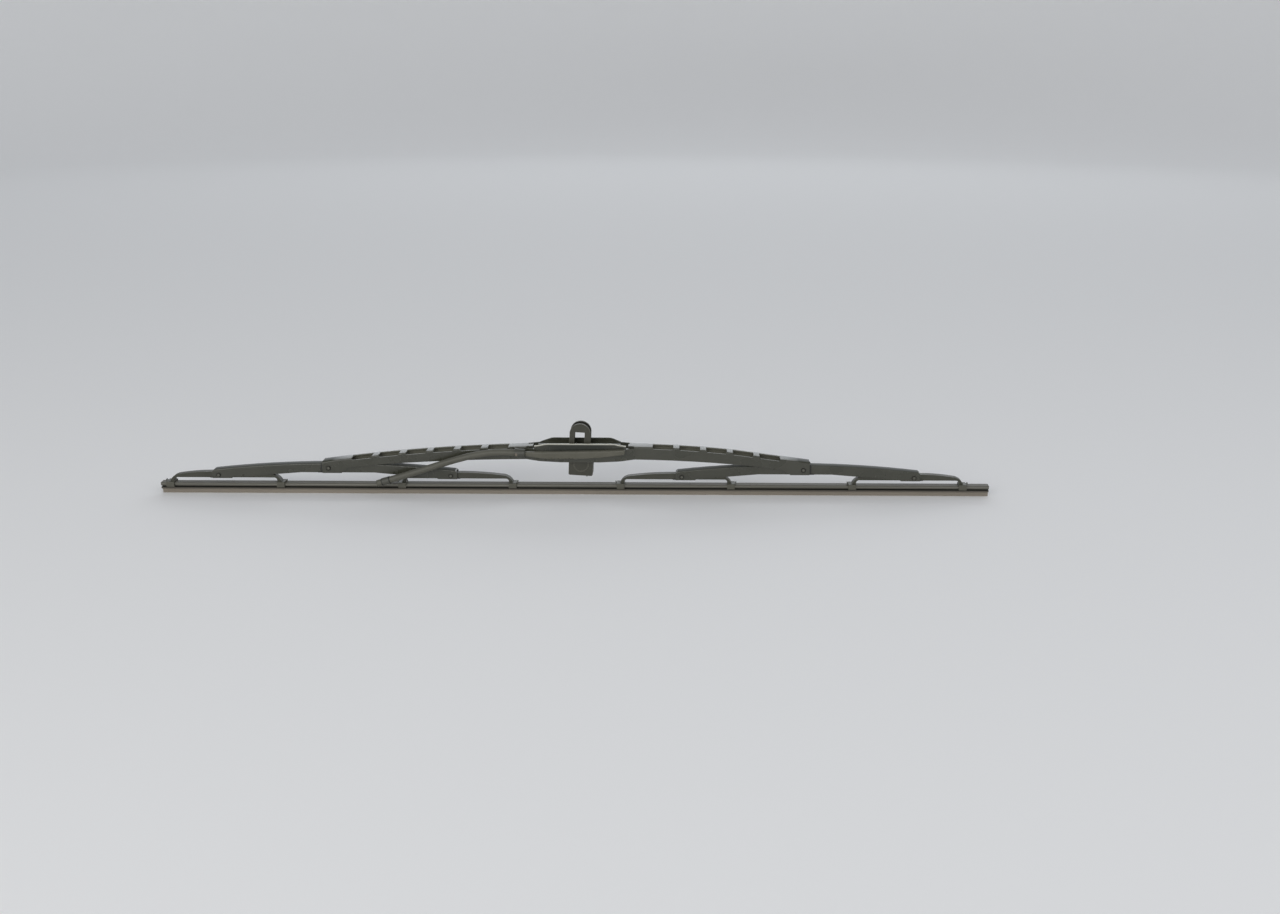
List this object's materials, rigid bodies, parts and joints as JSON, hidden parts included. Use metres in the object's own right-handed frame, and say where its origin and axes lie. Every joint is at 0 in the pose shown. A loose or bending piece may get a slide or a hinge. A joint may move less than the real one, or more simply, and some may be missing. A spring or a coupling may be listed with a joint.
{
  "type": "wiper blade",
  "caption": "Bracket wiper blade: slotted main bridge, pivoting levers and claw yokes, rubber strip, upright arm clip and a spray bar with its washer hose.",
  "frame": {"origin": "middle of the arm pin, on the pivot axis of the arm clip", "axes": "+X along the blade, +Y across it away from the spray bar, +Z away from the glass"},
  "size_m": [0.65, 0.0244, 0.059],
  "materials": {
    "painted_steel": "semi-matt black paint with a fine grain",
    "rivet_steel": "blackened steel, a little brighter than the levers",
    "spring_steel": "dull spring steel",
    "bush_plastic": "moulded black plastic",
    "clip_plastic": "moulded dark grey plastic",
    "spray_bar_plastic": "moulded grey-black plastic",
    "wiper_rubber": "natural rubber, dusty and matt",
    "hose_rubber": "smooth black rubber hose"
  },
  "bodies": {
    "bridge": {"main_bridge": "painted_steel", "centre_pin": "rivet_steel", "spray_bar": "spray_bar_plastic", "hose_collar": "hose_rubber", "washer_hose": "hose_rubber", "hose_end_sleeve": "hose_rubber", "main_rivet_left": "rivet_steel", "main_rivet_right": "rivet_steel", "main_bush_left": "bush_plastic", "main_bush_right": "bush_plastic", "rubber_element": "wiper_rubber", "backing_strip_near": "spring_steel", "backing_strip_far": "spring_steel"},
    "clip": {"arm_clip": "clip_plastic"},
    "lever_left": {"secondary_lever_left": "painted_steel", "yoke_rivet_left_outer": "rivet_steel", "yoke_bush_left_outer": "bush_plastic", "yoke_rivet_left_inner": "rivet_steel", "yoke_bush_left_inner": "bush_plastic"},
    "yoke_left_outer": {"claw_yoke_left_outer": "painted_steel"},
    "yoke_left_inner": {"claw_yoke_left_inner": "painted_steel"},
    "lever_right": {"secondary_lever_right": "painted_steel", "yoke_rivet_right_outer": "rivet_steel", "yoke_bush_right_outer": "bush_plastic", "yoke_rivet_right_inner": "rivet_steel", "yoke_bush_right_inner": "bush_plastic"},
    "yoke_right_outer": {"claw_yoke_right_outer": "painted_steel"},
    "yoke_right_inner": {"claw_yoke_right_inner": "painted_steel"}
  },
  "joints": [
    {"name": "clip_pivot", "type": "hinge", "parent": "bridge", "child": "clip", "pos_m": [0, 0, 0], "axis": [0, 1, 0], "range_deg": [-90, 85]},
    {"name": "lever_left_pivot", "type": "hinge", "parent": "bridge", "child": "lever_left", "pos_m": [-0.19685, 0, -0.013], "axis": [0, 1, 0], "range_deg": [-6, 6], "stiffness_Nm_per_rad": 0.4, "deforming": ["rubber_element", "backing_strip_near", "backing_strip_far"]},
    {"name": "yoke_left_outer_pivot", "type": "hinge", "parent": "lever_left", "child": "yoke_left_outer", "pos_m": [-0.28375, 0, -0.01955], "axis": [0, 1, 0], "range_deg": [-6, 6], "stiffness_Nm_per_rad": 0.06, "deforming": ["rubber_element", "backing_strip_near", "backing_strip_far"]},
    {"name": "yoke_left_inner_pivot", "type": "hinge", "parent": "lever_left", "child": "yoke_left_inner", "pos_m": [-0.10195, 0, -0.01955], "axis": [0, 1, 0], "range_deg": [-6, 6], "stiffness_Nm_per_rad": 0.06, "deforming": ["rubber_element", "backing_strip_near", "backing_strip_far"]},
    {"name": "lever_right_pivot", "type": "hinge", "parent": "bridge", "child": "lever_right", "pos_m": [0.17365, 0, -0.013], "axis": [0, 1, 0], "range_deg": [-6, 6], "stiffness_Nm_per_rad": 0.4, "deforming": ["rubber_element", "backing_strip_near", "backing_strip_far"]},
    {"name": "yoke_right_outer_pivot", "type": "hinge", "parent": "lever_right", "child": "yoke_right_outer", "pos_m": [0.26055, 0, -0.01955], "axis": [0, 1, 0], "range_deg": [-6, 6], "stiffness_Nm_per_rad": 0.06, "deforming": ["rubber_element", "backing_strip_near", "backing_strip_far"]},
    {"name": "yoke_right_inner_pivot", "type": "hinge", "parent": "lever_right", "child": "yoke_right_inner", "pos_m": [0.07875, 0, -0.01955], "axis": [0, 1, 0], "range_deg": [-6, 6], "stiffness_Nm_per_rad": 0.06, "deforming": ["rubber_element", "backing_strip_near", "backing_strip_far"]}
  ]
}
